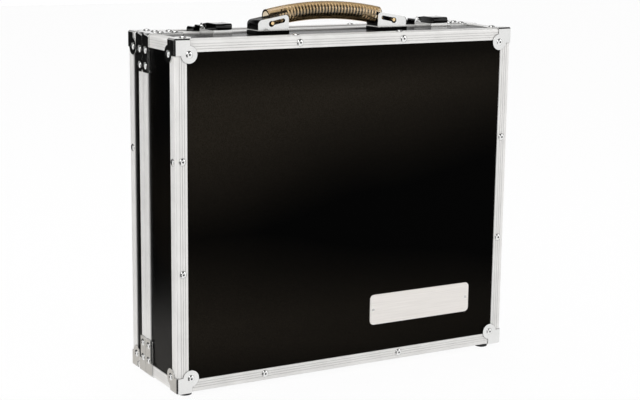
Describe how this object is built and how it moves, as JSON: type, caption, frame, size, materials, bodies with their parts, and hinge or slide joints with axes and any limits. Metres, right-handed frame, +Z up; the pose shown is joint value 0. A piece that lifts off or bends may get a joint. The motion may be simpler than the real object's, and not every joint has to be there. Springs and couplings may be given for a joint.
{
  "type": "guitar pedal case",
  "caption": "Flat hard case for guitar pedals: black laminate halves with aluminium edges, corner caps, draw latches and a spring-tube carrying handle.",
  "frame": {"origin": "on the floor under the middle of the case, at the bottom centre of its box", "axes": "+X right along the width, +Y to the back through the depth, +Z up"},
  "size_m": [0.4192, 0.1258, 0.4075],
  "materials": {
    "laminate": "black laminate on plywood, fine grain",
    "aluminium_profile": "anodised, satin, fine ribs",
    "chrome_hardware": "bright plated steel",
    "latch_chrome": "bright plated steel",
    "rivet_steel": "bright steel",
    "foot_rubber": "matt black",
    "badge_metal": "brushed",
    "foam": "open-cell grey black foam",
    "carpet": "loop pile",
    "black_plastic": "moulded, fine texture",
    "amber_tube": "clear amber vinyl",
    "spring_steel": "bright wire",
    "core_rubber": "matt black",
    "brass": "polished"
  },
  "bodies": {
    "front_half": {"badge_plate": "badge_metal", "front_closure_profiles": "aluminium_profile", "front_corner_braces": "chrome_hardware", "front_corner_caps": "chrome_hardware", "front_depth_profiles": "aluminium_profile", "front_edge_profile_bottom": "aluminium_profile", "front_edge_profile_left": "aluminium_profile", "front_edge_profile_right": "aluminium_profile", "front_edge_profile_top": "aluminium_profile", "front_feet": "foot_rubber", "front_foam": "foam", "front_panel": "laminate", "front_rivets": "rivet_steel", "front_wall_bottom": "laminate", "front_wall_left": "laminate", "front_wall_right": "laminate", "front_wall_top": "laminate", "handle_block_left": "black_plastic", "handle_block_right": "black_plastic", "handle_bracket_left": "chrome_hardware", "handle_bracket_right": "chrome_hardware", "handle_pads": "black_plastic", "handle_screws": "rivet_steel", "hinge_leaf_front": "chrome_hardware", "hinge_pins": "chrome_hardware", "latch_base_left": "latch_chrome", "latch_base_right": "latch_chrome", "latch_pivot_rivets": "rivet_steel"},
    "rear_half": {"hinge_leaf_rear": "chrome_hardware", "keeper_left": "latch_chrome", "keeper_right": "latch_chrome", "pedal_deck_carpet": "carpet", "rear_closure_profiles": "aluminium_profile", "rear_corner_braces": "chrome_hardware", "rear_corner_caps": "chrome_hardware", "rear_depth_profiles": "aluminium_profile", "rear_edge_profile_bottom": "aluminium_profile", "rear_edge_profile_left": "aluminium_profile", "rear_edge_profile_right": "aluminium_profile", "rear_edge_profile_top": "aluminium_profile", "rear_feet": "foot_rubber", "rear_panel": "laminate", "rear_rivets": "rivet_steel", "rear_wall_bottom": "laminate", "rear_wall_left": "laminate", "rear_wall_right": "laminate", "rear_wall_top": "laminate"},
    "latch_lever_left": {"latch_lever_left": "latch_chrome", "link_pin_left": "latch_chrome"},
    "latch_lever_right": {"latch_lever_right": "latch_chrome", "link_pin_right": "latch_chrome"},
    "latch_link_left": {"latch_link_left": "latch_chrome"},
    "latch_link_right": {"latch_link_right": "latch_chrome"},
    "grip": {"grip_core": "core_rubber", "grip_spring": "spring_steel", "grip_tube": "amber_tube"},
    "strap_left": {"handle_pin_left": "brass", "handle_strap_left": "black_plastic"},
    "strap_right": {"handle_pin_right": "brass", "handle_strap_right": "black_plastic"}
  },
  "joints": [
    {"name": "case_open", "type": "hinge", "parent": "front_half", "child": "rear_half", "pos_m": [0, 0.0215, 0.0032], "axis": [-1, 0, 0], "range_deg": [0, 110]},
    {"name": "latch_left_lever", "type": "hinge", "parent": "front_half", "child": "latch_lever_left", "pos_m": [-0.1355, 0.0075, 0.3825], "axis": [-1, 0, 0], "range_deg": [0, 100]},
    {"name": "latch_left_link", "type": "hinge", "parent": "latch_lever_left", "child": "latch_link_left", "pos_m": [-0.1355, -0.001, 0.3814], "axis": [-1, 0, 0], "range_deg": [-100, 0]},
    {"name": "latch_right_lever", "type": "hinge", "parent": "front_half", "child": "latch_lever_right", "pos_m": [0.1355, 0.0075, 0.3825], "axis": [-1, 0, 0], "range_deg": [0, 100]},
    {"name": "latch_right_link", "type": "hinge", "parent": "latch_lever_right", "child": "latch_link_right", "pos_m": [0.1355, -0.001, 0.3814], "axis": [-1, 0, 0], "range_deg": [-100, 0]},
    {"name": "handle_lift", "type": "slide", "parent": "front_half", "child": "grip", "axis": [0, 0, 1], "range_m": [0, 0.005]},
    {"name": "strap_left_slide", "type": "slide", "parent": "front_half", "child": "strap_left", "axis": [0.9816, 0, 0.1908], "range_m": [0, 0.006]},
    {"name": "strap_right_slide", "type": "slide", "parent": "front_half", "child": "strap_right", "axis": [-0.9816, 0, 0.1908], "range_m": [0, 0.006]}
  ],
  "couplings": [
    {"joint": "latch_left_link", "follows": "latch_left_lever", "ratio": -1},
    {"joint": "latch_right_link", "follows": "latch_right_lever", "ratio": -1},
    {"joint": "strap_left_slide", "follows": "handle_lift", "ratio": 1.15},
    {"joint": "strap_right_slide", "follows": "handle_lift", "ratio": 1.15}
  ]
}
